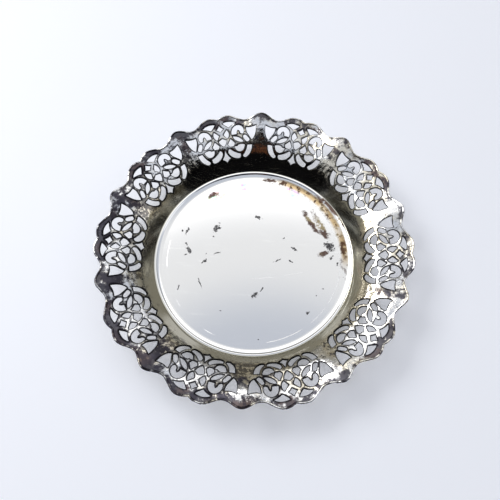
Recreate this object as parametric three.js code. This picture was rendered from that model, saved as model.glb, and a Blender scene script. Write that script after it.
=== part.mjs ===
// Pierced silver dish: one pressed sheet with a flat well, a steep wall and a fluted, pierced
// border, and a round wire soldered along its scalloped edge. Millimetres, +Z up, standing on Z = 0.
import * as THREE from 'three';
import { mergeVertices } from 'three/addons/utils/BufferGeometryUtils.js';

// Driving dimensions.
const THICKNESS = 0.8;            // of the sheet
const WELL_RADIUS = 51.2;         // flat floor of the well
const PANELS = 10;                // pierced panels round the border
const PANEL_SPAN = 360 / PANELS;  // degrees
const HALF_PANEL = PANEL_SPAN / 2;
const FLUTE_HEIGHT = 2.6;         // rise of each rib above the middle of a panel
const FLUTE_START = 5;            // degrees from a panel's middle where the rib starts to rise
const FLUTE_FOOT = 64;            // radius where the ribs grow out of the wall
const FLUTE_FULL = 76;            // radius from where they have their full height
const WIRE_RADIUS = 0.65;
const SOLDER_GAP = 0.3;           // between the wire and the sheet

// Radial section of the sheet, from the centre outward: length and turn (degrees) of each stretch.
const SECTION = [
  [WELL_RADIUS, 0],
  [2.7, 20],     // step, a gentle rise
  [0.45, 20],    // then steeper
  [0.5, -40],    // and rounded over
  [0.52, 0],     // ledge
  [0.85, 55],    // fillet
  [1.65, 0],     // foot of the wall
  [6.87, 0],     // its upper part, where the piercing starts
  [9.53, -40],   // bend
  [20, 0],       // border
];
const PLAIN_STRETCHES = 7;        // of the section, before the pierced zone
const PATTERN_FOOT = SECTION.slice(0, PLAIN_STRETCHES).reduce((sum, [length]) => sum + length, 0);

// Scalloped edge, as distances up the sheet from PATTERN_FOOT.
const LOBE_ANGLE = 4;
const LOBE_TOP = 33.75;
const NOTCH_DEPTH = 1.5;
const VALLEY_ANGLE = 11.6;
const VALLEY = 29.25;
const RIB_LOBE_TOP = 32.55;

// Mesh fineness.
const WELL_COLUMNS = 6;           // per panel
const EDGE_COLUMNS = 12;          // per panel
const CURVE_STEPS = 2;            // per curve of a hole's outline
const CURVE_RINGS = 2;            // per curved stretch of the section
const PIERCING_FOOT = 4.4;        // lower limit of the pierced panels, up the sheet
const CREST_ANGLE = 16.4;         // edge of the strip along each rib's crest, from a panel's middle
const CREST_RINGS = [8, 11, 13, 15, 17, 21, 26];
const WIRE_SIDES = 6;
const MM_PER_DEGREE = 1.3;        // across the border, for laying a panel flat
const PROBE = 0.05;               // small step (mm or degrees) for measuring directions on the sheet
const TINY = 1e-6;                // smaller than any distance between two points

// Outlines of the pierced holes of one panel: [degrees from its middle, mm up the sheet from
// PATTERN_FOOT]. A step holding two points is a curve: its control point and its end.
const PAIRED_HOLES = {
  fan: [
    [7.1, 28.3], [[5.0, 30.6], [1.7, 29.3]], [[2.3, 27.9], [3.9, 26.2]], [[5.1, 27.6], [7.1, 28.3]],
  ],
  bay: [
    [10.15, 21.3], [[10.9, 23.6], [9.55, 25.6]], [[7.6, 27.9], [5.7, 25.6]], [[4.6, 23.9], [4.75, 21.5]],
    [7.05, 21.5], [[7.0, 23.2], [7.75, 23.9]], [[8.6, 23.4], [8.75, 21.9]],
  ],
  leaf: [[2.85, 24.8], [1.1, 22.2], [2.3, 19.8], [[3.9, 21.6], [2.85, 24.8]]],
  shield: [
    [15.95, 25.0], [[13.7, 23.6], [11.5, 24.4]], [[11.4, 21.9], [12.3, 20.4]], [13.9, 17.3],
    [[16.1, 18.6], [15.95, 25.0]],
  ],
  pill: [
    [12.9, 17.3], [[12.4, 15.9], [11.4, 16.4]], [9.9, 19.2], [[9.9, 20.6], [11.1, 20.1]],
  ],
  lens: [[9.95, 16.5], [[8.3, 19.9], [5.2, 20.4]], [[5.2, 18.6], [6.9, 17.3]]],
  house: [[3.8, 19.0], [2.1, 15.9], [2.9, 14.5], [4.9, 14.6], [5.6, 16.3]],
  moon: [
    [10.4, 14.7], [7.3, 15.0], [5.3, 14.3], [[5.6, 11.2], [7.9, 11.1]], [[9.9, 11.4], [10.4, 14.7]],
  ],
  outer_arc: [
    [14.0, 14.5], [11.7, 14.4], [[11.3, 11.2], [9.2, 8.8]], [10.6, 7.4], [[13.9, 9.6], [14.0, 14.5]],
  ],
  inner_arc: [
    [2.6, 13.2], [1.75, 10.6], [[3.3, 7.3], [6.6, 7.1]], [7.8, 9.8], [[4.9, 10.4], [2.6, 13.2]],
  ],
};
const MIDDLE_HOLES = {
  diamond: [[0, 28.1], [-1.55, 25.9], [0, 24.2], [1.55, 25.9]],
  crest: [[0, 20.0], [-1.9, 18.7], [[-1.5, 16.4], [0, 15.1]], [[1.5, 16.4], [1.9, 18.7]]],
  star: [[0, 12.7], [[-0.6, 9.4], [-2.3, 7.8]], [0, 5.6], [2.3, 7.8], [[0.6, 9.4], [0, 12.7]]],
};

const radians = THREE.MathUtils.degToRad;
const smooth = (value, from, to) => THREE.MathUtils.smoothstep(value, from, to);

// Radius and height of the sheet's middle surface at a distance from the centre along SECTION.
function sectionPoint(distance) {
  let r = 0;
  let z = THICKNESS / 2;
  let heading = 0;
  let left = distance;
  for (const [length, turn] of SECTION) {
    const step = Math.min(left, length);
    const bend = radians(turn) * (step / length);
    const chord = bend === 0 ? step : (2 * Math.sin(bend / 2) * step) / bend;
    r += chord * Math.cos(heading + bend / 2);
    z += chord * Math.sin(heading + bend / 2);
    heading += bend;
    left -= step;
    if (left <= 0) break;
  }
  return { r, z };
}

// Angle from the middle of the nearest panel.
function fromPanelMiddle(angle) {
  return THREE.MathUtils.euclideanModulo(angle + HALF_PANEL, PANEL_SPAN) - HALF_PANEL;
}

// Point of the middle surface at an angle (degrees) and a distance from the centre along the sheet.
function sheetPoint(angle, distance) {
  const { r, z } = sectionPoint(distance);
  const rib = smooth(Math.abs(fromPanelMiddle(angle)), FLUTE_START, HALF_PANEL);
  const rise = FLUTE_HEIGHT * smooth(r, FLUTE_FOOT, FLUTE_FULL) * rib;
  return new THREE.Vector3(r * Math.cos(radians(angle)), r * Math.sin(radians(angle)), z + rise);
}

function sheetNormal(angle, distance) {
  if (distance < WELL_RADIUS) return new THREE.Vector3(0, 0, 1);
  const across = sheetPoint(angle + PROBE, distance).sub(sheetPoint(angle - PROBE, distance));
  const outward = sheetPoint(angle, distance + PROBE).sub(sheetPoint(angle, distance - PROBE));
  return outward.cross(across).normalize();
}

// Distance up the sheet of the scalloped outline, at an angle from a panel's middle.
function outlineHeight(angle) {
  const a = Math.abs(angle);
  if (a < LOBE_ANGLE) return LOBE_TOP - NOTCH_DEPTH * (1 - a / LOBE_ANGLE) ** 2;
  if (a < VALLEY_ANGLE) {
    const phase = (Math.PI * (a - LOBE_ANGLE)) / (VALLEY_ANGLE - LOBE_ANGLE);
    return VALLEY + ((LOBE_TOP - VALLEY) * (1 + Math.cos(phase))) / 2;
  }
  const phase = (Math.PI * (a - VALLEY_ANGLE)) / (HALF_PANEL - VALLEY_ANGLE);
  return VALLEY + ((RIB_LOBE_TOP - VALLEY) * (1 - Math.cos(phase))) / 2;
}

// Point [angle, distance up the sheet] at an inset from the outline, square to it.
function outlinePoint(angle, inset) {
  const height = outlineHeight(angle);
  const arcPerDegree = radians(1) * sectionPoint(PATTERN_FOOT + height).r;
  const rise = outlineHeight(angle + PROBE) - outlineHeight(angle - PROBE);
  const slope = rise / (2 * PROBE * arcPerDegree);
  const scale = inset / Math.hypot(1, slope);
  return [angle + (slope * scale) / arcPerDegree, height - scale];
}

function holeOutline(steps) {
  const path = new THREE.Path();
  path.moveTo(...steps[0]);
  for (const step of steps.slice(1)) {
    if (Array.isArray(step[0])) path.quadraticCurveTo(...step[0], ...step[1]);
    else path.lineTo(...step);
  }
  const points = path.getPoints(CURVE_STEPS).map((point) => [point.x, point.y]);
  const [first, last] = [points[0], points.at(-1)];
  if (Math.hypot(first[0] - last[0], first[1] - last[1]) < TINY) points.pop();
  return points;
}

const sheetEdge = (angle) => outlinePoint(angle, 2 * WIRE_RADIUS + SOLDER_GAP);

// Holes and rim of one panel, between the crest strips, in angles from its middle.
function panelOutlines() {
  const holes = Object.values(MIDDLE_HOLES).map(holeOutline);
  for (const outline of Object.values(PAIRED_HOLES).map(holeOutline)) {
    holes.push(outline, outline.map(([angle, height]) => [-angle, height]));
  }
  const rim = [];
  for (let i = 0; i <= WELL_COLUMNS; i++) {
    rim.push([-HALF_PANEL + (i * PANEL_SPAN) / WELL_COLUMNS, PIERCING_FOOT]);
  }
  rim.push([HALF_PANEL, CREST_RINGS[0]]);
  CREST_RINGS.forEach((height) => rim.push([CREST_ANGLE, height]));
  rim.push(sheetEdge(CREST_ANGLE));
  for (let i = 1; i < EDGE_COLUMNS; i++) {
    rim.push(sheetEdge(HALF_PANEL - (i * PANEL_SPAN) / EDGE_COLUMNS));
  }
  rim.push(sheetEdge(-CREST_ANGLE));
  [...CREST_RINGS].reverse().forEach((height) => rim.push([-CREST_ANGLE, height]));
  rim.push([-HALF_PANEL, CREST_RINGS[0]]);
  return { rim, holes };
}

// Distances from the centre of the rings of vertices below the pierced zone.
function wellRings() {
  const rings = [];
  let start = 0;
  for (const [length, turn] of SECTION.slice(0, PLAIN_STRETCHES)) {
    const parts = turn === 0 ? 1 : CURVE_RINGS;
    for (let i = 1; i <= parts; i++) rings.push(start + (i * length) / parts);
    start += length;
  }
  return [...rings, PATTERN_FOOT + PIERCING_FOOT];
}

// The sheet's middle surface as vertices [angle, distance] and triangles seen from above.
function sheetTriangles() {
  const vertices = [];
  const triangles = [];
  const known = new Map();
  const vertex = (angle, distance) => {
    const turn = THREE.MathUtils.euclideanModulo(angle + TINY, 360);
    const key = distance === 0 ? 'centre' : `${turn.toFixed(4)} ${distance.toFixed(4)}`;
    if (!known.has(key)) known.set(key, vertices.push([angle, distance]) - 1);
    return known.get(key);
  };

  const step = PANEL_SPAN / WELL_COLUMNS;
  const rings = wellRings();
  for (let angle = -HALF_PANEL; angle < 360 - HALF_PANEL - TINY; angle += step) {
    triangles.push([vertex(0, 0), vertex(angle, rings[0]), vertex(angle + step, rings[0])]);
    for (let i = 1; i < rings.length; i++) {
      const inner = [vertex(angle, rings[i - 1]), vertex(angle + step, rings[i - 1])];
      const outer = [vertex(angle, rings[i]), vertex(angle + step, rings[i])];
      triangles.push([inner[0], outer[0], outer[1]], [inner[0], outer[1], inner[1]]);
    }
  }

  const { rim, holes } = panelOutlines();
  const flat = ([angle, height]) => new THREE.Vector2(height, angle * MM_PER_DEGREE);
  const faces = THREE.ShapeUtils.triangulateShape(rim.map(flat), holes.map((hole) => hole.map(flat)));
  const points = [rim, ...holes].flat();
  for (let panel = 0; panel < PANELS; panel++) {
    for (const face of faces) {
      const [a, b, c] = face.map((i) => flat(points[i]));
      const upward = b.clone().sub(a).cross(c.clone().sub(a)) > 0;
      const corners = face.map((i) => vertex(points[i][0] + panel * PANEL_SPAN, PATTERN_FOOT + points[i][1]));
      triangles.push(upward ? corners : corners.reverse());
    }
    for (const side of [-1, 1]) {
      const columns = [HALF_PANEL, CREST_ANGLE].map((angle) => [
        ...CREST_RINGS.map((height) => [side * angle, height]), sheetEdge(side * angle),
      ]);
      if (side > 0) columns.reverse();
      const [right, left] = columns.map((column) => column.map(
        ([angle, height]) => vertex(angle + panel * PANEL_SPAN, PATTERN_FOOT + height)));
      for (let i = 1; i < left.length; i++) {
        triangles.push([right[i - 1], right[i], left[i]], [right[i - 1], left[i], left[i - 1]]);
      }
    }
  }
  return { vertices, triangles };
}

// Solid with the sheet's thickness, closed along every free edge.
function sheetGeometry() {
  const { vertices, triangles } = sheetTriangles();
  const position = [];
  for (const side of [THICKNESS / 2, -THICKNESS / 2]) {
    for (const [angle, distance] of vertices) {
      const point = sheetPoint(angle, distance).addScaledVector(sheetNormal(angle, distance), side);
      position.push(...point.toArray());
    }
  }
  const below = vertices.length;
  const edges = new Set(triangles.flatMap(([a, b, c]) => [`${a} ${b}`, `${b} ${c}`, `${c} ${a}`]));
  const index = [];
  for (const [a, b, c] of triangles) {
    index.push(a, b, c, a + below, c + below, b + below);
  }
  for (const edge of edges) {
    const [a, b] = edge.split(' ').map(Number);
    if (!edges.has(`${b} ${a}`)) index.push(b, a, a + below, b, a + below, b + below);
  }
  const geometry = new THREE.BufferGeometry();
  geometry.setAttribute('position', new THREE.Float32BufferAttribute(position, 3));
  geometry.setIndex(index);
  return mergeVertices(geometry);
}

// Round wire that follows the scalloped outline.
function wireGeometry() {
  const position = [];
  const index = [];
  const count = PANELS * EDGE_COLUMNS;
  const centre = (i) => {
    const angle = (i * PANEL_SPAN) / EDGE_COLUMNS;
    const local = fromPanelMiddle(angle);
    const [shifted, height] = outlinePoint(local, WIRE_RADIUS);
    return [angle + shifted - local, PATTERN_FOOT + height];
  };
  for (let i = 0; i < count; i++) {
    const along = sheetPoint(...centre(i + 1)).sub(sheetPoint(...centre(i - 1))).normalize();
    const up = sheetNormal(...centre(i));
    const out = along.clone().cross(up).normalize();
    for (let j = 0; j < WIRE_SIDES; j++) {
      const turn = (j * 2 * Math.PI) / WIRE_SIDES;
      const point = sheetPoint(...centre(i));
      point.addScaledVector(out, WIRE_RADIUS * Math.cos(turn));
      point.addScaledVector(up, WIRE_RADIUS * Math.sin(turn));
      position.push(...point.toArray());
      const [here, there] = [i * WIRE_SIDES, ((i + 1) % count) * WIRE_SIDES];
      const next = (j + 1) % WIRE_SIDES;
      index.push(here + j, there + j, there + next, here + j, there + next, here + next);
    }
  }
  const geometry = new THREE.BufferGeometry();
  geometry.setAttribute('position', new THREE.Float32BufferAttribute(position, 3));
  geometry.setIndex(index);
  return geometry;
}

function mesh(name, geometry, material) {
  geometry.computeVertexNormals();
  const piece = new THREE.Mesh(geometry, material);
  piece.name = name;
  return piece;
}

const polished = new THREE.MeshStandardMaterial({ color: 0xd9d6cc, roughness: 0.12, metalness: 1 });
const worn = new THREE.MeshStandardMaterial({ color: 0xbdb6a6, roughness: 0.22, metalness: 1 });

const dish = new THREE.Group();
dish.add(mesh('dish_sheet', sheetGeometry(), polished));
dish.add(mesh('rim_wire', wireGeometry(), worn));

export default dish;
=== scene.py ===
"""Pierced silver dish: the fine sheet and its rim wire, their tarnished silver, floor, light and camera."""
import math

import bpy
import numpy as np
from mathutils import Matrix, Vector
from mathutils.geometry import delaunay_2d_cdt


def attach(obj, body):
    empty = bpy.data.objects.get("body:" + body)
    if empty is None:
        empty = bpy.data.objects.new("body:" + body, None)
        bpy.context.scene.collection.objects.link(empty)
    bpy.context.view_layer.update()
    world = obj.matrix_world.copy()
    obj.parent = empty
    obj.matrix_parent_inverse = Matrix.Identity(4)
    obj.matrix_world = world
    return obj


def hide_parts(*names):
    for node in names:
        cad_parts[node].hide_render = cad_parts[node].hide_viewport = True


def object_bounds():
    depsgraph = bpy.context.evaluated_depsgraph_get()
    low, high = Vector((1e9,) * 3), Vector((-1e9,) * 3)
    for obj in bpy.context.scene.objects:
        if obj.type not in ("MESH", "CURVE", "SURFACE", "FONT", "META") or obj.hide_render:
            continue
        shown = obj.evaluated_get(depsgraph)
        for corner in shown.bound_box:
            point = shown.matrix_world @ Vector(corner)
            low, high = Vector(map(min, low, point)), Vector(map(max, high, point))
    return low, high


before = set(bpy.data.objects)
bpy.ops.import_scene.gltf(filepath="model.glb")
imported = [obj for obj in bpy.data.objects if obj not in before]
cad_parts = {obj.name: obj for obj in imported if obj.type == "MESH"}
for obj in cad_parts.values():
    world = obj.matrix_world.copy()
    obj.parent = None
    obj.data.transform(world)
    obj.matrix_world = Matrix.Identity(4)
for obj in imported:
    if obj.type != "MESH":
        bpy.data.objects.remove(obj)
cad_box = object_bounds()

MM = 0.001

# Driving dimensions of the dish, as in the design: millimetres and degrees.
THICKNESS = 0.8
WELL_RADIUS = 51.2
PANELS = 10
PANEL_SPAN = 360 / PANELS
HALF_PANEL = PANEL_SPAN / 2
FLUTE_HEIGHT = 2.6
FLUTE_START = 5
FLUTE_FOOT = 64
FLUTE_FULL = 76
WIRE_RADIUS = 0.65
WIRE_WEAR = 27         # the wire is as worn as the sheet this far up

# Radial section of the sheet, from the centre outward: length and turn of each stretch.
SECTION = [
    (WELL_RADIUS, 0),
    (2.7, 20),      # step, a gentle rise
    (0.45, 20),     # then steeper
    (0.5, -40),     # and rounded over
    (0.52, 0),      # ledge
    (0.85, 55),     # fillet
    (1.65, 0),      # foot of the wall
    (6.87, 0),      # its upper part, where the piercing starts
    (9.53, -40),    # bend
    (20, 0),        # border
]
PLAIN_STRETCHES = 7    # of the section, before the pierced zone
PATTERN_FOOT = sum(length for length, turn in SECTION[:PLAIN_STRETCHES])

# Scalloped edge, as distances up the sheet from PATTERN_FOOT.
LOBE_ANGLE = 4
LOBE_TOP = 33.75
NOTCH_DEPTH = 1.5
VALLEY_ANGLE = 11.6
VALLEY = 29.25
RIB_LOBE_TOP = 32.55

# Fineness of the visible mesh.
PIERCING_FOOT = 4.4
CURVE_STEPS = 10
LINE_STEPS = 3
GRID = 0.8
EDGE_RADIUS = 0.22     # soft edges of the pierced holes
WEB_FALL = 0.11        # drop of a web's top towards a hole
WEB_REACH = 0.35       # distance over which it drops
GRIME_AND_SHADE_REACH = 0.38     # width of the dark line round each hole
WEB_RINGS = (0.18, 0.42, 0.7)   # finer rows of vertices round each hole
FLAT_RINGS = (8, 25, 45, 50, WELL_RADIUS)   # rows of vertices over the flat well
STEP_RING = 0.23       # between rows over the step, ledge and fillet
WALL_RINGS = 7
WIRE_SIDES = 16
MM_PER_DEGREE = 1.3    # of the border, for laying its grid flat
DENT = 0.07            # height of the waves in hand-finished sheet
INSIDE_OUTLINE = 1     # kind of triangulation: only what lies within an outline
CLOSE = 1e-5           # points nearer than this are one
CREST_POINTS = 36      # along the line between two panels
CORNER_POINTS = 4      # over each soft edge of a hole

# Outlines of the pierced holes of one panel: (degrees from its middle, mm up the sheet from
# PATTERN_FOOT). A step holding two points is a curve: its control point and its end.
PAIRED_HOLES = {
    "fan": [(7.1, 28.3), ((5.0, 30.6), (1.7, 29.3)), ((2.3, 27.9), (3.9, 26.2)),
            ((5.1, 27.6), (7.1, 28.3))],
    "bay": [(10.15, 21.3), ((10.9, 23.6), (9.55, 25.6)), ((7.6, 27.9), (5.7, 25.6)),
            ((4.6, 23.9), (4.75, 21.5)), (7.05, 21.5), ((7.0, 23.2), (7.75, 23.9)),
            ((8.6, 23.4), (8.75, 21.9)), ((9.3, 20.9), (10.15, 21.3))],
    "leaf": [(2.85, 24.8), ((1.9, 23.6), (1.1, 22.2)), ((1.7, 20.8), (2.3, 19.8)), ((3.3, 20.2), (3.5, 22.4)),
             ((3.4, 23.9), (2.85, 24.8))],
    "shield": [(15.95, 25.0), ((13.7, 23.6), (11.5, 24.4)), ((11.4, 21.9), (12.3, 20.4)),
               ((13.0, 18.9), (13.9, 17.3)), ((16.1, 18.6), (15.95, 25.0))],
    "pill": [(12.9, 17.3), ((12.4, 15.9), (11.4, 16.4)), ((10.2, 17.8), (9.9, 19.2)),
             ((9.9, 20.6), (11.1, 20.1)), ((12.2, 18.8), (12.9, 17.3))],
    "lens": [(9.95, 16.5), ((8.3, 19.9), (5.2, 20.4)), ((5.2, 18.6), (6.9, 17.3)),
             ((8.3, 16.2), (9.95, 16.5))],
    "house": [(3.8, 19.0), (2.1, 15.9), (2.9, 14.5), (4.9, 14.6), (5.6, 16.3)],
    "moon": [(10.4, 14.7), ((8.9, 15.6), (7.3, 15.0)), ((6.9, 14.1), (5.3, 14.3)), ((5.6, 11.2), (7.9, 11.1)),
             ((9.9, 11.4), (10.4, 14.7))],
    "outer_arc": [(14.0, 14.5), (11.7, 14.4), ((11.3, 11.2), (9.2, 8.8)), ((9.2, 7.3), (10.6, 7.4)),
                  ((13.9, 9.6), (14.0, 14.5))],
    "inner_arc": [(2.6, 13.2), ((1.2, 12.6), (1.75, 10.6)), ((3.3, 7.3), (6.6, 7.1)),
                  ((8.2, 7.3), (7.8, 9.8)), ((4.9, 10.4), (2.6, 13.2))],
}
MIDDLE_HOLES = {
    "diamond": [(0, 28.1), ((-0.6, 26.6), (-1.55, 25.9)), ((-0.8, 25.3), (0, 24.2)),
                ((0.8, 25.3), (1.55, 25.9)), ((0.6, 26.6), (0, 28.1))],
    "crest": [(0, 20.0), ((-1.0, 19.4), (-1.9, 18.7)), ((-1.5, 16.4), (0, 15.1)),
              ((1.5, 16.4), (1.9, 18.7)), ((1.0, 19.4), (0, 20.0))],
    "star": [(0, 12.7), ((-0.6, 9.4), (-2.3, 7.8)), ((-0.9, 7.2), (0, 5.6)),
             ((0.9, 7.2), (2.3, 7.8)), ((0.6, 9.4), (0, 12.7))],
}


# ---------------------------------------------------------------- shape of the sheet

def smooth(value, low, high):
    t = np.clip((value - low) / (high - low), 0, 1)
    return t * t * (3 - 2 * t)


def section_point(distance):
    """Radius and height of the middle surface at a distance from the centre along SECTION."""
    left = np.asarray(distance, float)
    r = np.zeros_like(left)
    z = np.full_like(left, THICKNESS / 2)
    heading = np.zeros_like(left)
    for length, turn in SECTION:
        step = np.clip(left, 0, length)
        bend = math.radians(turn) * step / length
        half = np.where(bend == 0, 1e-9, bend / 2)
        chord = step * np.sin(half) / half
        r = r + chord * np.cos(heading + bend / 2)
        z = z + chord * np.sin(heading + bend / 2)
        heading = heading + bend
        left = left - length
    return r, z


def from_panel_middle(angle):
    return (angle + HALF_PANEL) % PANEL_SPAN - HALF_PANEL


def dents(angle, distance):
    """Gentle unevenness of hand-finished sheet, over the wall and the border."""
    turn = np.radians(angle)
    waves = (np.sin(17 * turn + 0.31 * distance) * np.sin(0.43 * distance - 5 * turn + 1.3)
             + 0.7 * np.sin(41 * turn - 0.52 * distance + 2.1) * np.sin(0.77 * distance + 23 * turn)
             + 0.4 * np.sin(83 * turn + 1.1 * distance + 0.4) * np.sin(1.3 * distance - 61 * turn))
    return DENT * waves * smooth(distance, PATTERN_FOOT + 2, PATTERN_FOOT + 14)


def sheet_point(angle, distance):
    r, z = section_point(distance)
    rib = smooth(np.abs(from_panel_middle(angle)), FLUTE_START, HALF_PANEL)
    z = z + FLUTE_HEIGHT * smooth(r, FLUTE_FOOT, FLUTE_FULL) * rib + dents(angle, distance)
    return np.stack([r * np.cos(np.radians(angle)), r * np.sin(np.radians(angle)), z], -1)


def unit(vectors):
    return vectors / np.maximum(np.linalg.norm(vectors, axis=-1, keepdims=True), 1e-12)


def sheet_frame(angle, distance):
    """Unit directions across, outward and square to the sheet."""
    off_centre = np.maximum(distance, 1)       # the centre itself has no direction across
    across = unit(sheet_point(angle + 0.02, off_centre) - sheet_point(angle - 0.02, off_centre))
    inner = np.maximum(distance - 0.02, 0)
    outward = unit(sheet_point(angle, inner + 0.04) - sheet_point(angle, inner))
    return across, outward, unit(np.cross(outward, across))


def outline_height(angle):
    a = np.abs(angle)
    lobe = LOBE_TOP - NOTCH_DEPTH * np.clip(1 - a / LOBE_ANGLE, 0, 1) ** 2
    falling = np.clip((a - LOBE_ANGLE) / (VALLEY_ANGLE - LOBE_ANGLE), 0, 1)
    rising = np.clip((a - VALLEY_ANGLE) / (HALF_PANEL - VALLEY_ANGLE), 0, 1)
    lobe = lobe - (LOBE_TOP - VALLEY) * (1 - np.cos(np.pi * falling)) / 2
    return lobe + (RIB_LOBE_TOP - VALLEY) * (1 - np.cos(np.pi * rising)) / 2


def outline_point(angle, inset):
    """Angle and height of a point at an inset from the scalloped outline, square to it."""
    height = outline_height(angle)
    per_degree = np.radians(section_point(PATTERN_FOOT + height)[0])
    slope = (outline_height(angle + 0.1) - outline_height(angle - 0.1)) / (0.2 * per_degree)
    scale = inset / np.hypot(1, slope)
    return np.stack([angle + slope * scale / per_degree, height - scale], -1)


def hole_outline(steps):
    points = [np.array(steps[0], float)]
    for step in steps[1:]:
        if isinstance(step[0], tuple):
            start, control, end = points[-1], np.array(step[0]), np.array(step[1])
            for t in np.linspace(0, 1, CURVE_STEPS + 1)[1:]:
                points.append((1 - t) ** 2 * start + 2 * t * (1 - t) * control + t * t * end)
        else:
            start, end = points[-1], np.array(step, float)
            points.extend(start + (end - start) * t for t in np.linspace(0, 1, LINE_STEPS + 1)[1:])
    points = np.array(points)
    if np.allclose(points[0], points[-1]):
        points = points[:-1]
    else:
        closing = np.linspace(points[-1], points[0], LINE_STEPS + 1)[1:-1]
        points = np.vstack([points, closing])
    return flat(points)


def flat(points):
    """(degrees, height) laid out in millimetres."""
    return points * np.array([MM_PER_DEGREE, 1])


def signed_area(loop):
    x, y = loop[:, 0], loop[:, 1]
    return 0.5 * np.sum(x * np.roll(y, -1) - y * np.roll(x, -1))


def loop_normals(loop):
    """Directions from the metal into the hole, for a counter-clockwise outline."""
    tangent = unit(np.roll(loop, -1, 0) - loop) + unit(loop - np.roll(loop, 1, 0))
    tangent = unit(tangent)
    return np.stack([-tangent[:, 1], tangent[:, 0]], -1)


def inside(points, loop):
    x, y = points[:, 0:1], points[:, 1:2]
    x0, y0 = loop[:, 0], loop[:, 1]
    x1, y1 = np.roll(x0, -1), np.roll(y0, -1)
    crosses = (y0 > y) != (y1 > y)
    rise = np.where(y1 == y0, 1e-12, y1 - y0)
    return (np.sum(crosses & (x < x0 + (x1 - x0) * (y - y0) / rise), axis=1) % 2) == 1


def offset_from(points, loop):
    """Vectors to the points from the nearest place of an outline."""
    nearest = np.full((len(points), 2), 1e9)
    for start, end in zip(loop, np.roll(loop, -1, 0)):
        along = end - start
        t = np.clip(((points - start) @ along) / (along @ along), 0, 1)
        offset = points - start - t[:, None] * along
        closer = np.linalg.norm(offset, axis=1) < np.linalg.norm(nearest, axis=1)
        nearest = np.where(closer[:, None], offset, nearest)
    return nearest


def distance_to(points, loop):
    return np.linalg.norm(offset_from(points, loop), axis=1)


def web_shape(points, mouths):
    """Distance to the nearest hole, drop of the web's top, and its normal in the sheet's frame."""
    nearest = np.full(len(points), 1e9)
    drop = np.zeros(len(points))
    rise = np.zeros((len(points), 2))
    for mouth in mouths:
        offset = offset_from(points, mouth)
        distance = np.linalg.norm(offset, axis=1)
        share = WEB_FALL * np.exp(-distance / WEB_REACH)
        drop += share
        rise += unit(offset) * (share / WEB_REACH)[:, None]
        nearest = np.minimum(nearest, distance)
    return nearest, drop, unit(np.column_stack([-rise, np.ones(len(points))]))


def panel_holes():
    holes = [hole_outline(steps) for steps in MIDDLE_HOLES.values()]
    for steps in PAIRED_HOLES.values():
        outline = hole_outline(steps)
        holes += [outline, outline * np.array([-1, 1])]
    return [hole if signed_area(hole) > 0 else hole[::-1] for hole in holes]


def panel_rim():
    """Outline of one panel, counter-clockwise, laid flat."""
    foot = [(a, PIERCING_FOOT) for a in np.arange(-HALF_PANEL, HALF_PANEL, 1)]
    edge = outline_point(np.arange(HALF_PANEL, -HALF_PANEL - 0.01, -0.5), WIRE_RADIUS)
    crest = np.linspace(PIERCING_FOOT, edge[0][1], CREST_POINTS)
    right = [(HALF_PANEL, h) for h in crest[:-1]]
    left = [(-HALF_PANEL, h) for h in crest[-2:0:-1]]
    return flat(np.array(foot + right + [tuple(p) for p in edge] + left))


def set_attributes(mesh, **attributes):
    for label, values in attributes.items():
        layer = mesh.attributes.new(label, "FLOAT", "POINT")
        layer.data.foreach_set("value", values.astype(np.float32))


class Shell:
    """Vertices given on the sheet (angle, distance, height off the middle surface) and faces between them."""

    def __init__(self):
        self.where = []
        self.tilt = []      # normal as (across, outward, up) of the sheet's own frame
        self.grime = []
        self.faces = []
        self.count = 0

    def add(self, angle, distance, lift, tilt, grime):
        n = len(angle)
        lift = np.broadcast_to(lift, n)
        self.where.append(np.stack([angle, distance, lift], -1))
        self.tilt.append(np.broadcast_to(tilt, (n, 3)))
        self.grime.append(np.broadcast_to(grime, n))
        self.count += n
        return np.arange(self.count - n, self.count)

    def build(self, name):
        where = np.vstack(self.where)
        across, outward, up = sheet_frame(where[:, 0], where[:, 1])
        position = sheet_point(where[:, 0], where[:, 1]) + up * where[:, 2:3]
        tilt = np.vstack(self.tilt)
        normal = unit(across * tilt[:, 0:1] + outward * tilt[:, 1:2] + up * tilt[:, 2:3])
        _, first, merged = np.unique(np.round(position, 4), axis=0, return_index=True, return_inverse=True)
        merged = merged.reshape(-1)
        faces = [merged[list(face)] for face in self.faces]
        faces = [face.tolist() for face in faces if len(set(face.tolist())) == len(face)]
        mesh = bpy.data.meshes.new(name)
        mesh.from_pydata((position[first] * MM).tolist(), [], faces)
        mesh.polygons.foreach_set("use_smooth", [True] * len(mesh.polygons))
        height = where[first, 1] - PATTERN_FOOT
        rib = np.abs(from_panel_middle(where[first, 0])) / HALF_PANEL
        set_attributes(mesh, grime=np.concatenate(self.grime)[first], up_sheet=height, rib=rib)
        mesh.normals_split_custom_set_from_vertices(normal[first].tolist())
        mesh.update()
        piece = bpy.data.objects.new(name, mesh)
        bpy.context.scene.collection.objects.link(piece)
        return piece


SIDES = ((THICKNESS / 2, (0, 0, 1)), (-THICKNESS / 2, (0, 0, -1)))


def add_well(shell):
    """Well, step, ledge, fillet and foot of the wall: rings joined on both faces."""
    columns = np.arange(0, 360, 1.0)
    step_rings = np.arange(WELL_RADIUS, PATTERN_FOOT, STEP_RING)[1:]
    wall_rings = np.linspace(PATTERN_FOOT, PATTERN_FOOT + PIERCING_FOOT, WALL_RINGS)
    for lift, tilt in SIDES:
        centre = shell.add(np.zeros(1), np.zeros(1), lift, tilt, 0)[0]
        rows = [shell.add(columns, np.full(len(columns), float(d)), lift, tilt, 0)
                for d in [*FLAT_RINGS, *step_rings, *wall_rings]]
        for i in range(len(columns)):
            j = (i + 1) % len(columns)
            face = (centre, rows[0][i], rows[0][j])
            shell.faces.append(face if lift > 0 else face[::-1])
            for inner, outer in zip(rows, rows[1:]):
                face = (inner[i], outer[i], outer[j], inner[j])
                shell.faces.append(face if lift > 0 else face[::-1])


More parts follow.
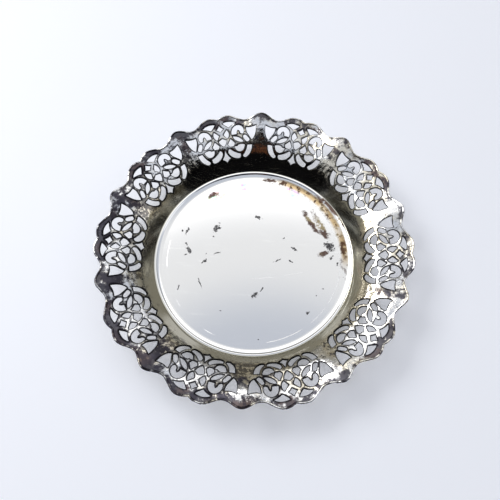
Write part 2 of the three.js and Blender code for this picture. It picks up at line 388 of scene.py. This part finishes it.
def panel_mesh(rim, holes):
    """Triangles of the flat panel between its rim and the softened mouths of its holes."""
    mouths = [hole - loop_normals(hole) * EDGE_RADIUS for hole in holes]
    xs = np.arange(rim[:, 0].min(), rim[:, 0].max(), GRID)
    ys = np.arange(rim[:, 1].min(), rim[:, 1].max(), GRID * 0.866)
    grid = np.array([(x + (GRID / 2 if row % 2 else 0), y) for row, y in enumerate(ys) for x in xs])
    clear = np.full(len(grid), WEB_RINGS[-1])
    for ring in WEB_RINGS:
        row = np.vstack([mouth - loop_normals(mouth) * ring for mouth in mouths])
        grid = np.vstack([row, grid])
        clear = np.append(np.full(len(row), 0.85 * ring), clear)
    keep = inside(grid, rim) & (distance_to(grid, rim) > 0.35 * GRID)
    for mouth in mouths:
        keep &= ~inside(grid, mouth) & (distance_to(grid, mouth) > clear)
    grid = grid[keep]
    loops = [rim, *mouths]
    points = np.vstack([*loops, grid])
    edges = []
    start = 0
    for loop in loops:
        edges += [(start + i, start + (i + 1) % len(loop)) for i in range(len(loop))]
        start += len(loop)
    mesh_2d = delaunay_2d_cdt([Vector(p) for p in points], edges, [], INSIDE_OUTLINE, CLOSE)
    triangles, origin = mesh_2d[2], mesh_2d[3]
    flat_points = np.array([points[source[0]] for source in origin])
    triangles = np.array([list(t) for t in triangles])
    centres = flat_points[triangles].mean(1)
    keep = inside(centres, rim)
    for mouth in mouths:
        keep &= ~inside(centres, mouth)
    return flat_points, triangles[keep], mouths


def on_panel(panel, flat_points):
    """Angle and distance of points laid flat, on one of the panels."""
    angle = panel * PANEL_SPAN + flat_points[:, 0] / MM_PER_DEGREE
    return angle, PATTERN_FOOT + flat_points[:, 1]


def add_panels(shell):
    holes = panel_holes()
    rim = panel_rim()
    points, triangles, mouths = panel_mesh(rim, holes)
    a, b, c = (points[triangles[:, i]] for i in range(3))
    ab, ac = b - a, c - a
    turned = ab[:, 0] * ac[:, 1] > ab[:, 1] * ac[:, 0]
    triangles = np.where(turned[:, None], triangles[:, ::-1], triangles)   # angle runs against the view
    near, drop, web_tilt = web_shape(points, mouths)
    # painted shade with tarnish: darkness fading from the mouth of each hole
    grime = np.exp(-near / GRIME_AND_SHADE_REACH)
    mouth_drops = [web_shape(mouth, mouths)[1] for mouth in mouths]
    arc = np.linspace(0, np.pi / 2, CORNER_POINTS)
    for panel in range(PANELS):
        top = shell.add(*on_panel(panel, points), THICKNESS / 2 - drop, web_tilt, grime)
        shell.faces += [tuple(top[t]) for t in triangles]
        low = shell.add(*on_panel(panel, points), -THICKNESS / 2, (0, 0, -1), grime)
        shell.faces += [tuple(low[t[::-1]]) for t in triangles]
        # the walls of each hole are fully darkened: painted shade with tarnish in the crevice
        for hole, mouth_drop in zip(holes, mouth_drops):
            into = loop_normals(hole)
            rings = []
            for side in (1, -1):
                for turn in arc if side > 0 else arc[::-1]:
                    ring = hole - into * EDGE_RADIUS * (1 - math.sin(turn))
                    lift = side * (THICKNESS / 2 - EDGE_RADIUS * (1 - math.cos(turn)))
                    lift = lift - (mouth_drop if side > 0 else 0)
                    tilt = np.column_stack([into * math.sin(turn), np.full(len(hole), side * math.cos(turn))])
                    rings.append(shell.add(*on_panel(panel, ring), lift, tilt, 1))
            for upper, lower in zip(rings, rings[1:]):
                for i in range(len(hole)):
                    j = (i + 1) % len(hole)
                    shell.faces.append((upper[i], upper[j], lower[j], lower[i]))
    edge = outline_point(np.arange(-HALF_PANEL, HALF_PANEL + 0.01, 0.5), WIRE_RADIUS)
    for panel in range(PANELS):
        angle, distance = panel * PANEL_SPAN + edge[:, 0], PATTERN_FOOT + edge[:, 1]
        top, low = (shell.add(angle, distance, lift, (0, 1, 0), 1) for lift, _ in SIDES)
        for i in range(len(edge) - 1):
            shell.faces.append((top[i], low[i], low[i + 1], top[i + 1]))


def make_sheet():
    shell = Shell()
    add_well(shell)
    add_panels(shell)
    return shell.build("sheet")


def make_wire():
    """Round wire along the scalloped edge."""
    angles = np.arange(0, 360, 0.5)
    local = from_panel_middle(angles)
    shifted = outline_point(local, WIRE_RADIUS)
    angle, distance = angles + shifted[:, 0] - local, PATTERN_FOOT + shifted[:, 1]
    centre = sheet_point(angle, distance)
    along = unit(np.roll(centre, -1, 0) - np.roll(centre, 1, 0))
    _, _, up = sheet_frame(angle, distance)
    out = unit(np.cross(along, up))
    turns = np.arange(WIRE_SIDES) * 2 * np.pi / WIRE_SIDES
    normal = out[:, None] * np.cos(turns)[None, :, None] + up[:, None] * np.sin(turns)[None, :, None]
    position = (centre[:, None] + WIRE_RADIUS * normal).reshape(-1, 3)
    count = len(angles)
    faces = []
    for i in range(count):
        here, there = i * WIRE_SIDES, (i + 1) % count * WIRE_SIDES
        for j in range(WIRE_SIDES):
            k = (j + 1) % WIRE_SIDES
            faces.append((here + j, there + j, there + k, here + k))
    mesh = bpy.data.meshes.new("edge_wire")
    mesh.from_pydata((position * MM).tolist(), [], faces)
    mesh.polygons.foreach_set("use_smooth", [True] * len(mesh.polygons))
    # painted shade with tarnish: the wire darkens on its side towards the sheet, where the two meet
    facing_sheet = 0.5 - 0.5 * np.cos(turns)
    rib = np.abs(from_panel_middle(angle)) / HALF_PANEL
    set_attributes(mesh, grime=np.tile(0.5 * facing_sheet, count), rib=np.repeat(rib, WIRE_SIDES),
                   up_sheet=np.full(count * WIRE_SIDES, WIRE_WEAR))
    mesh.update()
    piece = bpy.data.objects.new("edge_wire", mesh)
    bpy.context.scene.collection.objects.link(piece)
    return piece


# ---------------------------------------------------------------- materials

class Nodes:
    """Short hand for building a node tree."""

    def __init__(self, tree):
        self.tree = tree
        tree.nodes.clear()

    def add(self, kind, inputs=None, **settings):
        node = self.tree.nodes.new(kind)
        for name, value in settings.items():
            setattr(node, name, value)
        for name, value in (inputs or {}).items():
            socket = node.inputs[name]
            if isinstance(value, bpy.types.NodeSocket):
                self.tree.links.new(value, socket)
            else:
                socket.default_value = value
        return node

    def math(self, operation, first, second=0.0):
        return self.add("ShaderNodeMath", {0: first, 1: second}, operation=operation).outputs[0]

    def dot(self, first, second):
        node = self.add("ShaderNodeVectorMath", {0: first, 1: second}, operation="DOT_PRODUCT")
        return node.outputs["Value"]

    def length(self, vector):
        return self.add("ShaderNodeVectorMath", {0: vector}, operation="LENGTH").outputs["Value"]

    def most(self, first, *others):
        for other in others:
            first = self.math("MAXIMUM", first, other)
        return first

    def total(self, first, *others):
        for other in others:
            first = self.math("ADD", first, other)
        return first

    def product(self, first, *others):
        for other in others:
            first = self.math("MULTIPLY", first, other)
        return first

    def ramp(self, value, low, high, to_low=0.0, to_high=1.0):
        inputs = {"Value": value, "From Min": low, "From Max": high, "To Min": to_low, "To Max": to_high}
        return self.add("ShaderNodeMapRange", inputs, interpolation_type="SMOOTHSTEP").outputs[0]

    def mix(self, factor, first, second):
        node = self.add("ShaderNodeMix", {"Factor": factor}, data_type="RGBA")
        for slot, value in ((6, first), (7, second)):
            if isinstance(value, bpy.types.NodeSocket):
                self.tree.links.new(value, node.inputs[slot])
            else:
                node.inputs[slot].default_value = (*value, 1)
        return node.outputs[2]

    def colour_noise(self, where, scale, detail):
        inputs = {"Vector": where, "Scale": scale, "Detail": detail}
        return self.add("ShaderNodeTexNoise", inputs).outputs["Color"]

    def noise(self, where, scale, detail=3.0, roughness=0.55, distortion=0.0):
        inputs = {"Vector": where, "Scale": scale, "Detail": detail, "Roughness": roughness,
                  "Distortion": distortion}
        return self.add("ShaderNodeTexNoise", inputs).outputs["Fac"]


SILVER = (0.94, 0.935, 0.92)
KHAKI = (0.70, 0.68, 0.58)       # painted reflection: olive tint of the wall, standing in for the surroundings it reflects
# painted reflection: warm tint of the bright roof seen in the border
CREAM = (0.95, 0.86, 0.66)
OCHRE = (0.55, 0.37, 0.14)
TAN = (0.34, 0.27, 0.14)
RUST = (0.085, 0.040, 0.024)
SLATE = (0.050, 0.047, 0.063)
BROWN = (0.085, 0.055, 0.055)
BLACK = (0.012, 0.011, 0.014)

# Blemishes of the well: place (mm), turn (degrees), half length and half width (mm).
SMUDGES = (
    (31.5, 24.0, -55, 8.0, 1.5), (37.5, 21.5, -62, 9.0, 2.4), (47.5, 27.5, -52, 11.0, 1.3),
    (50.5, 8.5, -80, 4.5, 1.5), (40.5, 36.0, -40, 7.0, 1.2), (39.0, 4.5, 20, 3.0, 1.4),
    (-26.0, 38.5, 20, 3.2, 1.3), (6.5, 50.0, 0, 5.0, 1.0),
)
FLECKS = (
    (42.3, 9.4, -45, 3.3, 2.3), (43.6, 2.0, 90, 1.4, 0.7), (46.8, -1.3, 90, 0.9, 0.5),
    (-39.0, 14.2, 80, 2.2, 0.8), (-41.6, 14.5, 40, 0.8, 0.5), (-36.5, 3.0, -35, 2.4, 1.1),
    (-38.7, -0.2, 25, 1.3, 0.5), (-38.6, 6.8, 90, 1.2, 0.5), (-21.9, 17.4, 60, 3.2, 1.6),
    (-23.5, 11.8, 20, 0.7, 0.5), (-27.4, -3.3, 40, 2.2, 0.6), (-26.4, 1.6, 60, 0.8, 0.4),
    (-28.6, -16.0, -62, 3.4, 0.35), (-40.0, -19.5, 85, 1.2, 0.5), (1.2, 25.2, -30, 1.9, 0.9),
    (-20.9, 1.5, 15, 1.6, 0.4), (23.0, 6.5, -40, 1.7, 0.8), (13.6, -0.8, 35, 2.6, 0.35),
    (21.0, -0.7, -30, 1.3, 0.4), (16.4, 13.0, 0, 0.5, 0.4), (5.4, -18.4, 70, 1.5, 0.35),
    (2.4, -21.9, 30, 2.0, 1.4), (30.9, -30.2, 30, 1.0, 0.8), (5.0, -45.7, 0, 0.6, 0.5),
    (-16.0, -31.0, 0, 0.6, 0.4), (35.5, -20.0, 0, 0.5, 0.4), (39.0, -16.0, 60, 0.7, 0.4),
)
FILMS = ((-7, 45, 5, 11, 5), (-24, 38, 25, 8, 4), (20, 42, -25, 9, 4))
SCRATCHES = ((7.0, -11.4, 9, 9.0, 0.16), (23.0, -8.2, 13, 8.0, 0.12))
STAIN_SIDE = (0.79, 0.61, 0)     # direction from the centre of the stained part of the well's edge
WORN_SIDE = (-0.93, -0.36, 0)    # and of the most tarnished part of the border
RING_SCRATCH = 0.0484            # radius of the mark left by a smaller plate, metres
STROKE_TURNS = (8, 52, 118)      # directions of the fine polishing strokes
STROKE_SCALE = (40, 2600, 1)     # stretches noise into strokes
FRAYING = 0.0035                 # how far the edges of marks wander, metres
TINT_GAIN = 2.6                  # of noise, for the colours of the rainbow film
TINT_SHIFT = -0.45
POLISHED = 0.09                  # roughness
TARNISHED = 0.42


FAR = 10.0


def nearest_mark(nodes, where, marks):
    """Distance to the nearest of some elliptical marks, in units of their own size."""
    nearest = FAR
    for x, y, turn, length, width in marks:
        local = nodes.add("ShaderNodeMapping", {
            "Vector": where, "Location": (x * MM, y * MM, 0), "Rotation": (0, 0, math.radians(turn)),
            "Scale": (length * MM, width * MM, 1)}, vector_type="TEXTURE").outputs[0]
        nearest = nodes.math("MINIMUM", nearest, nodes.length(local))
    return nearest


class Surface:
    """What the layers of the silver share: places on the sheet and noise of several sizes."""

    def __init__(self, nodes):
        self.where = nodes.add("ShaderNodeTexCoord").outputs["Object"]
        self.grime = nodes.add("ShaderNodeAttribute", attribute_name="grime").outputs["Fac"]
        self.up_sheet = nodes.add("ShaderNodeAttribute", attribute_name="up_sheet").outputs["Fac"]
        self.rib = nodes.add("ShaderNodeAttribute", attribute_name="rib").outputs["Fac"]
        self.broad = nodes.noise(self.where, 55, 3)
        self.patches = nodes.noise(self.where, 110, 5, 0.6, 0.5)
        self.mottle = nodes.noise(self.where, 300, 4, 0.7)
        self.fine = nodes.noise(self.where, 900, 4, 0.7)
        self.grain = nodes.noise(self.where, 2600, 2, 0.5)
        from_centre = nodes.add("ShaderNodeVectorMath", {0: self.where}, operation="NORMALIZE").outputs[0]
        self.toward_stain = nodes.dot(from_centre, STAIN_SIDE)
        self.worn = nodes.ramp(nodes.dot(from_centre, WORN_SIDE), -0.9, 0.9, -0.09, 0.06)
        self.well = nodes.ramp(self.up_sheet, -2.2, -2.8)


def thin_films(nodes, at, colour):
    """Khaki tint over the wall and cream patches on the border, both painted reflection colour, and a faint
    rainbow film in the well.
    """
    # painted reflection: khaki tint over the wall
    wall = nodes.product(nodes.ramp(at.up_sheet, -3.2, -2.0), nodes.ramp(at.up_sheet, 14, 8))
    colour = nodes.mix(wall, colour, KHAKI)
    # painted reflection: cream tint of the bright roof, in patches over the border
    cream = nodes.product(nodes.ramp(at.broad, 0.44, 0.60), nodes.ramp(at.up_sheet, 2, 10))
    colour = nodes.mix(nodes.product(cream, 0.8), colour, CREAM)
    hues = nodes.colour_noise(at.where, 230, 2)
    tint = nodes.add("ShaderNodeVectorMath", {0: hues, 1: [TINT_GAIN] * 3, 2: [TINT_SHIFT] * 3},
                     operation="MULTIPLY_ADD").outputs[0]
    film = nodes.product(nodes.ramp(nearest_mark(nodes, at.where, FILMS), 1.0, 0.3), 0.75,
                         nodes.ramp(at.patches, 0.42, 0.55))
    return nodes.mix(film, colour, tint)


def tarnish_layer(nodes, at, colour):
    """Slate and brown tarnish on the lobes and along the ribs, heaviest on one side."""
    outer = nodes.ramp(at.up_sheet, 22.5, 30.5)
    crest = nodes.product(nodes.ramp(at.rib, 0.62, 0.95), nodes.ramp(at.up_sheet, 11, 22, 0, 0.8))
    zone = nodes.most(outer, crest)
    depth = nodes.total(nodes.product(zone, 0.42), at.patches,
                        nodes.ramp(at.mottle, 0.3, 0.7, -0.15, 0.13), at.worn)
    amount = nodes.product(nodes.ramp(depth, 0.66, 0.84), nodes.ramp(zone, 0.02, 0.25))
    kind = nodes.mix(nodes.ramp(nodes.noise(at.where, 75, 3), 0.50, 0.62), SLATE, BROWN)
    return nodes.mix(nodes.product(amount, 0.94), colour, kind), amount


def pits_and_dull_patches(nodes, at, colour):
    """Pits where the ribs leave the wall, and dull patches all over the border."""
    pits = nodes.product(nodes.ramp(at.fine, 0.56, 0.64), nodes.ramp(at.up_sheet, 1, 5),
                         nodes.ramp(at.up_sheet, 20, 8), nodes.ramp(at.broad, 0.42, 0.58))
    colour = nodes.mix(nodes.product(pits, 0.85), colour, BLACK)
    dull = nodes.total(at.mottle, at.worn, nodes.ramp(at.broad, 0.35, 0.65, -0.06, 0.06))
    dull = nodes.product(nodes.ramp(dull, 0.52, 0.60), nodes.ramp(at.up_sheet, 3, 9))
    return nodes.mix(nodes.product(dull, 0.75), colour, SLATE)


def crevice_layer(nodes, at, colour):
    """Black line round each hole and under the rim wire: tarnish where polish never reaches, with painted
    shade of the hole walls and of the crevice between wire and sheet.
    """
    depth = nodes.total(at.grime, nodes.ramp(at.patches, 0.3, 0.7, -0.25, 0.3), at.worn)
    amount = nodes.product(nodes.ramp(depth, 0.22, 0.60), nodes.ramp(at.grime, 0.02, 0.12))
    return nodes.mix(nodes.product(amount, 0.97), colour, BLACK), amount


def frayed_place(nodes, at):
    """Places shifted a little at random, so that marks get ragged edges."""
    ragged = nodes.colour_noise(at.where, 420, 3)
    shift = nodes.add("ShaderNodeVectorMath", {0: ragged, 1: (0.5, 0.5, 0.5)}, operation="SUBTRACT")
    shift = nodes.add("ShaderNodeVectorMath", {0: shift.outputs[0], "Scale": FRAYING}, operation="SCALE")
    return nodes.add("ShaderNodeVectorMath", {0: at.where, 1: shift.outputs[0]}, operation="ADD").outputs[0]


def stain_layer(nodes, at, colour):
    """Ochre band and brown crust at one side of the well, smudges and flecks in it."""
    frayed = frayed_place(nodes, at)
    band = nodes.product(nodes.ramp(at.up_sheet, -9.6, -7.2), nodes.ramp(at.up_sheet, -4.4, -5.4),
                         nodes.ramp(at.toward_stain, 0.72, 0.86),
                         nodes.ramp(at.patches, 0.36, 0.52, 0.5, 1.0))
    colour = nodes.mix(nodes.product(band, 0.85), colour, OCHRE)
    crust = nodes.product(nodes.ramp(at.up_sheet, -10.5, -7.5), nodes.ramp(at.up_sheet, -4.6, -5.6),
                          nodes.ramp(at.toward_stain, 0.60, 0.80),
                          nodes.ramp(nodes.noise(at.where, 380, 4, 0.65), 0.50, 0.58))
    smudge = nodes.total(nearest_mark(nodes, frayed, SMUDGES),
                         nodes.ramp(at.patches, 0.3, 0.7, 0.5, -0.5))
    smudge = nodes.most(nodes.product(nodes.ramp(smudge, 1.4, 0.75), at.well), crust)
    smudge = nodes.product(smudge, nodes.ramp(at.mottle, 0.38, 0.48, 0.15, 1.0))
    smudge_colour = nodes.mix(nodes.ramp(at.patches, 0.38, 0.50), TAN, RUST)
    colour = nodes.mix(nodes.product(smudge, 0.94), colour, smudge_colour)
    fleck = nodes.total(nearest_mark(nodes, frayed, FLECKS), nodes.ramp(at.fine, 0.3, 0.7, 0.45, -0.45))
    fleck = nodes.product(nodes.ramp(fleck, 1.05, 0.85), at.well, nodes.ramp(at.grain, 0.34, 0.42))
    return nodes.mix(nodes.product(fleck, 0.95), colour, BLACK), nodes.most(smudge, fleck)


def scratch_layer(nodes, at):
    """Long scratches, the arc left by a smaller plate, and fine polishing strokes."""
    off_ring = nodes.math("ABSOLUTE", nodes.math("SUBTRACT", nodes.length(at.where), RING_SCRATCH))
    ring = nodes.product(nodes.ramp(off_ring, 0.00030, 0.00012), nodes.ramp(at.broad, 0.45, 0.6),
                         at.well, 0.9)
    scratch = nodes.most(nodes.ramp(nearest_mark(nodes, at.where, SCRATCHES), 1.0, 0.4), ring)
    for turn in STROKE_TURNS:
        strokes = nodes.add("ShaderNodeMapping", {
            "Vector": at.where, "Rotation": (0, 0, math.radians(turn)),
            "Scale": STROKE_SCALE}).outputs[0]
        stroke = nodes.ramp(nodes.noise(strokes, 1.0, 1, 0.5), 0.70, 0.76)
        scratch = nodes.most(scratch, nodes.product(stroke, 0.35))
    return scratch


def relief_normal(nodes, at):
    """Hammered and worn relief of the border; heights are in millimetres."""
    border = nodes.ramp(at.up_sheet, 2, 12)
    soft = nodes.product(nodes.ramp(nodes.noise(at.where, 330, 3), 0.2, 0.8, -0.05, 0.05), border)
    height = nodes.total(soft, nodes.product(border, nodes.ramp(at.grain, 0.2, 0.8, -0.01, 0.01)))
    return nodes.add("ShaderNodeBump", {"Height": height, "Strength": 1.0, "Distance": MM}).outputs[0]


def new_material(name):
    material = bpy.data.materials.new(name)
    material.use_nodes = True
    return material, Nodes(material.node_tree)


def silver_material(name):
    material, nodes = new_material(name)
    at = Surface(nodes)
    colour = thin_films(nodes, at, SILVER)
    colour, tarnish = tarnish_layer(nodes, at, colour)
    colour = pits_and_dull_patches(nodes, at, colour)
    colour, crevice = crevice_layer(nodes, at, colour)
    colour, stain = stain_layer(nodes, at, colour)
    marks = nodes.most(tarnish, crevice, stain)
    roughness = nodes.total(nodes.ramp(marks, 0, 1, POLISHED, TARNISHED),
                            nodes.product(scratch_layer(nodes, at), 0.5))
    shader = nodes.add("ShaderNodeBsdfPrincipled", {
        "Base Color": colour, "Metallic": 1.0, "Roughness": roughness,
        "Normal": relief_normal(nodes, at)})
    nodes.add("ShaderNodeOutputMaterial", {"Surface": shader.outputs[0]})
    return material


def floor_material():
    material, nodes = new_material("pale_floor")
    shader = nodes.add("ShaderNodeBsdfPrincipled", {
        "Base Color": (0.80, 0.82, 0.88, 1), "Roughness": 0.6,
        "Emission Color": (0.93, 0.95, 1.0, 1), "Emission Strength": 0.22})
    nodes.add("ShaderNodeOutputMaterial", {"Surface": shader.outputs[0]})
    return material


# ---------------------------------------------------------------- floor, light and camera

CAMERA_TURN = math.radians(7.2)         # of the view about Z, from looking along +Y
CAMERA_ELEVATION = math.radians(67.13)
CAMERA_DISTANCE = 0.3044
CAMERA_AIM = Vector((-0.0015, 0.0062, -0.0022))   # before the turn
CAMERA_ROLL = math.radians(-3.8)
CAMERA_LENS = 38.46                     # mm, on a 36 mm wide frame


def make_camera():
    camera = bpy.data.objects.new("camera", bpy.data.cameras.new("camera"))
    camera.data.lens = CAMERA_LENS
    camera.data.clip_start = 0.01
    turn = Matrix.Rotation(CAMERA_TURN, 4, "Z")
    back = Vector((0, -math.cos(CAMERA_ELEVATION), math.sin(CAMERA_ELEVATION)))
    tilt = Matrix.Rotation(math.pi / 2 - CAMERA_ELEVATION, 4, "X")
    roll = Matrix.Rotation(CAMERA_ROLL, 4, "Z")
    camera.matrix_world = turn @ Matrix.Translation(CAMERA_AIM + back * CAMERA_DISTANCE) @ tilt @ roll
    bpy.context.scene.collection.objects.link(camera)
    bpy.context.scene.camera = camera


FLOOR_HALF = 1.5


def make_floor(low):
    mesh = bpy.data.meshes.new("floor")
    corners = [(-1, -1), (1, -1), (1, 1), (-1, 1)]
    mesh.from_pydata([(x * FLOOR_HALF, y * FLOOR_HALF, low) for x, y in corners], [], [(0, 1, 2, 3)])
    floor = bpy.data.objects.new("floor", mesh)
    bpy.context.scene.collection.objects.link(floor)
    mesh.materials.append(floor_material())


# Light tent round the dish, painted one patch over another: azimuth of its middle (from the right,
# towards the back), half width, zenith angles it spans, softness, all in degrees, and its radiance.
TENT = (
    (90, 185, 56, 95, 6, (0.26, 0.25, 0.22)),         # cloth walls
    (105, 50, 25, 47, 9, (1.45, 1.45, 1.46)),         # lit roof at the back
    (90, 70, 18, 27, 8, (0.84, 0.85, 0.87)),
    (62, 9, 48, 72, 5, (0.62, 0.62, 0.64)),           # folds of the back wall
    (118, 8, 48, 70, 5, (0.55, 0.55, 0.55)),
    (168, 15, 34, 58, 5, (1.5, 1.5, 1.5)),            # lamp panel on the left
    (-10, 14, 42, 62, 5, (1.35, 1.35, 1.4)),          # and on the right
    (-92, 44, 8, 50, 7, (0.014, 0.013, 0.014)),       # camera and its stand
    (-97.5, 74, 60, 100, 4, (0.05, 0.045, 0.035)),    # shaded front of the side walls
    (-158, 2.5, 50, 78, 2, (1.1, 1.1, 1.15)),         # lit edges of the front opening
    (-37, 2.5, 46, 78, 2, (1.0, 1.0, 1.05)),
    (-97.5, 61, 33, 100, 3, (0.004, 0.004, 0.005)),   # dark room through the opening
    (-100, 9, 34, 50, 4, (0.11, 0.045, 0.024)),       # wood in the dark room
)
ROOF = (0.55, 0.585, 0.665)
NEARLY_ZERO = 0.0001


def make_world():
    world = bpy.data.worlds.new("tent")
    bpy.context.scene.world = world
    world.use_nodes = True
    nodes = Nodes(world.node_tree)
    where = nodes.add("ShaderNodeTexCoord").outputs["Generated"]
    turned = nodes.add("ShaderNodeVectorRotate", {"Vector": where, "Angle": -CAMERA_TURN},
                       rotation_type="Z_AXIS")
    x, y, z = nodes.add("ShaderNodeSeparateXYZ", {"Vector": turned.outputs[0]}).outputs
    zenith = nodes.math("DEGREES", nodes.math("ARCCOSINE", z))
    level = nodes.math("SQRT", nodes.total(nodes.product(x, x), nodes.product(y, y)))
    level = nodes.most(level, NEARLY_ZERO)     # how far the direction points sideways
    colour = ROOF
    for azimuth, half_width, top, foot, soft, radiance in TENT:
        middle = math.radians(azimuth)
        toward = nodes.total(nodes.product(x, math.cos(middle)), nodes.product(y, math.sin(middle)))
        off = nodes.math("DEGREES", nodes.math("ARCCOSINE", nodes.math("DIVIDE", toward, level)))
        mask = nodes.product(nodes.ramp(off, half_width + soft / 2, half_width - soft / 2),
                             nodes.ramp(zenith, top - soft / 2, top + soft / 2),
                             nodes.ramp(zenith, foot + soft / 2, foot - soft / 2))
        colour = nodes.mix(mask, colour, radiance)
    background = nodes.add("ShaderNodeBackground", {"Color": colour, "Strength": 1.0})
    nodes.add("ShaderNodeOutputWorld", {"Surface": background.outputs[0]})


KEY_PLACE = Vector((-0.62, 0.48, 0.76))   # behind on the left, before the turn
KEY_SIZE = (0.62, 0.49)
KEY_WATTS = 5.6


def make_lamp():
    """Soft key light."""
    data = bpy.data.lights.new("key", "AREA")
    data.shape = "RECTANGLE"
    data.size, data.size_y = KEY_SIZE
    data.energy = KEY_WATTS
    lamp = bpy.data.objects.new("key", data)
    lamp.matrix_world = (Matrix.Rotation(CAMERA_TURN, 4, "Z") @ Matrix.Translation(KEY_PLACE)
                         @ KEY_PLACE.to_track_quat("Z", "Y").to_matrix().to_4x4())
    bpy.context.scene.collection.objects.link(lamp)


make_camera()
make_floor(cad_box[0][2])
make_world()
make_lamp()
bpy.context.scene.view_settings.view_transform = "Standard"

sheet = make_sheet()
sheet.data.materials.append(silver_material("polished_silver_looks"))
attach(sheet, "root")
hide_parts("dish_sheet")

wire = make_wire()
wire.data.materials.append(silver_material("worn_silver_looks"))
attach(wire, "root")
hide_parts("rim_wire")
